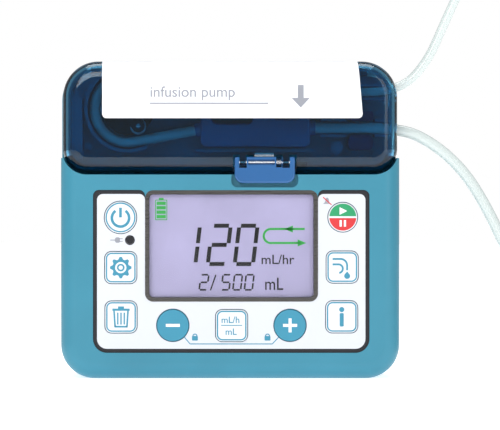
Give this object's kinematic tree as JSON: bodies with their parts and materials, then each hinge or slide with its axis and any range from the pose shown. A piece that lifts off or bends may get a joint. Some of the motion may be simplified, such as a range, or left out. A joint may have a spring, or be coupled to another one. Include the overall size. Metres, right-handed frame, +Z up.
{
  "type": "infusion pump",
  "caption": "Portable rotary infusion pump with a clear hinged door, roller rotor, geared drive, key panel with display, tubing cassette and giving-set tubes",
  "frame": {"origin": "centre of the base footprint of the pump, on the surface it stands on", "axes": "+X to the right seen from the front, +Y from the front panel to the back, +Z up"},
  "size_m": [0.284, 0.0512, 0.1661],
  "materials": {
    "case_teal": "soft-touch moulded shell, fine matte grain",
    "door_clear": "transparent dark blue polycarbonate",
    "film_white": null,
    "latch_blue": "moulded blue tab",
    "deck_navy": "dark blue moulded deck",
    "sensor_violet": "dark violet sensor cover",
    "steel": "turned and ground steel",
    "spring_steel": "drawn wire",
    "bronze": "sintered bearing bush",
    "rotor_dark": "dark blue-black moulded rotor",
    "roller_grey": "turned acetal roller",
    "gear_white": "moulded acetal gear",
    "motor_can": "plated steel can",
    "board_green": "solder-masked board with chips",
    "panel_white": "satin white membrane panel",
    "surround_black": "black sealing surround",
    "key_white": "satin white key with a cyan outline",
    "key_cyan": "cyan key with a white symbol",
    "key_start": "green and red start and pause key",
    "lcd_metal": "metallised grey bezel",
    "lcd_glass": "clear display window",
    "lcd_lilac": "backlit lilac display",
    "lamp_dark": "unlit status lamp",
    "black_plastic": "moulded black plastic",
    "battery_wrap": "shrink-wrapped battery pack",
    "contact_gold": "gold-plated contact",
    "insert_brass": "turned brass insert",
    "seal_rubber": "elastomer cord",
    "tube_silicone": "milky translucent silicone tube",
    "cassette_clear": "translucent blue moulded cassette",
    "connector_violet": "violet moulded connector"
  },
  "bodies": {
    "case": {"air_sensor": "sensor_violet", "bag_spike": "connector_violet", "battery_contacts": "contact_gold", "battery_cover": "case_teal", "battery_pack": "battery_wrap", "cassette_body": "cassette_clear", "channel_tubes": "tube_silicone", "door_hinge_pins": "steel", "end_connector": "connector_violet", "front_bearing": "bronze", "front_housing": "case_teal", "housing_seal": "seal_rubber", "inlet_coil": "tube_silicone", "inlet_lead": "tube_silicone", "inlet_tube": "tube_silicone", "key_panel": "panel_white", "keypad_board": "board_green", "latch_catch": "steel", "lcd_bezel": "lcd_metal", "lcd_module": "lcd_lilac", "lcd_window": "lcd_glass", "main_board": "board_green", "motor": "motor_can", "motor_bracket": "steel", "outlet_coil": "tube_silicone", "outlet_lead": "tube_silicone", "outlet_tube": "tube_silicone", "panel_surround": "surround_black", "pole_insert": "insert_brass", "power_socket": "black_plastic", "pump_deck": "deck_navy", "pump_tube": "tube_silicone", "rear_bearing": "bronze", "rear_housing": "case_teal", "screws": "steel", "speaker": "black_plastic", "status_lamp": "lamp_dark"},
    "door": {"door": "door_clear", "door_film": "film_white", "door_magnet": "steel", "latch_pin": "steel", "latch_spring": "spring_steel"},
    "latch": {"latch_tab": "latch_blue"},
    "rotor": {"rotor_carrier": "rotor_dark", "roller_pins": "steel", "drive_shaft": "steel", "rotor_gear": "gear_white"},
    "roller_1": {"roller_1": "roller_grey"},
    "roller_2": {"roller_2": "roller_grey"},
    "roller_3": {"roller_3": "roller_grey"},
    "pinion": {"motor_pinion": "bronze"},
    "power_key": {"power_key": "key_white"},
    "settings_key": {"settings_key": "key_white"},
    "bin_key": {"bin_key": "key_white"},
    "minus_key": {"minus_key": "key_cyan"},
    "unit_key": {"unit_key": "key_white"},
    "plus_key": {"plus_key": "key_cyan"},
    "info_key": {"info_key": "key_white"},
    "fill_key": {"fill_key": "key_white"},
    "start_key": {"start_key": "key_start"}
  },
  "joints": [
    {"name": "door_hinge", "type": "hinge", "parent": "case", "child": "door", "pos_m": [0, 0.0006, 0.1158], "axis": [-1, 0, 0], "range_deg": [0, 95]},
    {"name": "latch_hinge", "type": "hinge", "parent": "door", "child": "latch", "pos_m": [0.0127, -0.019, 0.0804], "axis": [-1, 0, 0], "range_deg": [0, 12], "stiffness_Nm_per_rad": 0.02},
    {"name": "rotor_spin", "type": "hinge", "parent": "case", "child": "rotor", "pos_m": [-0.038, 0, 0.1005], "axis": [0, -1, 0], "continuous": true},
    {"name": "pinion_spin", "type": "hinge", "parent": "case", "child": "pinion", "pos_m": [-0.02105, 0.0064, 0.1005], "axis": [0, -1, 0], "continuous": true},
    {"name": "roller_1_spin", "type": "hinge", "parent": "rotor", "child": "roller_1", "pos_m": [-0.0455, -0.0082, 0.1005], "axis": [0, -1, 0], "continuous": true},
    {"name": "roller_2_spin", "type": "hinge", "parent": "rotor", "child": "roller_2", "pos_m": [-0.03425, -0.0082, 0.09401], "axis": [0, -1, 0], "continuous": true},
    {"name": "roller_3_spin", "type": "hinge", "parent": "rotor", "child": "roller_3", "pos_m": [-0.03425, -0.0082, 0.107], "axis": [0, -1, 0], "continuous": true},
    {"name": "power_press", "type": "slide", "parent": "case", "child": "power_key", "axis": [0, 1, 0], "range_m": [0, 0.0005], "stiffness_N_per_m": 600},
    {"name": "settings_press", "type": "slide", "parent": "case", "child": "settings_key", "axis": [0, 1, 0], "range_m": [0, 0.0005], "stiffness_N_per_m": 600},
    {"name": "bin_press", "type": "slide", "parent": "case", "child": "bin_key", "axis": [0, 1, 0], "range_m": [0, 0.0005], "stiffness_N_per_m": 600},
    {"name": "minus_press", "type": "slide", "parent": "case", "child": "minus_key", "axis": [0, 1, 0], "range_m": [0, 0.0005], "stiffness_N_per_m": 600},
    {"name": "unit_press", "type": "slide", "parent": "case", "child": "unit_key", "axis": [0, 1, 0], "range_m": [0, 0.0005], "stiffness_N_per_m": 600},
    {"name": "plus_press", "type": "slide", "parent": "case", "child": "plus_key", "axis": [0, 1, 0], "range_m": [0, 0.0005], "stiffness_N_per_m": 600},
    {"name": "info_press", "type": "slide", "parent": "case", "child": "info_key", "axis": [0, 1, 0], "range_m": [0, 0.0005], "stiffness_N_per_m": 600},
    {"name": "fill_press", "type": "slide", "parent": "case", "child": "fill_key", "axis": [0, 1, 0], "range_m": [0, 0.0005], "stiffness_N_per_m": 600},
    {"name": "start_press", "type": "slide", "parent": "case", "child": "start_key", "axis": [0, 1, 0], "range_m": [0, 0.0005], "stiffness_N_per_m": 600}
  ],
  "couplings": [
    {"joint": "pinion_spin", "follows": "rotor_spin", "ratio": -3}
  ]
}
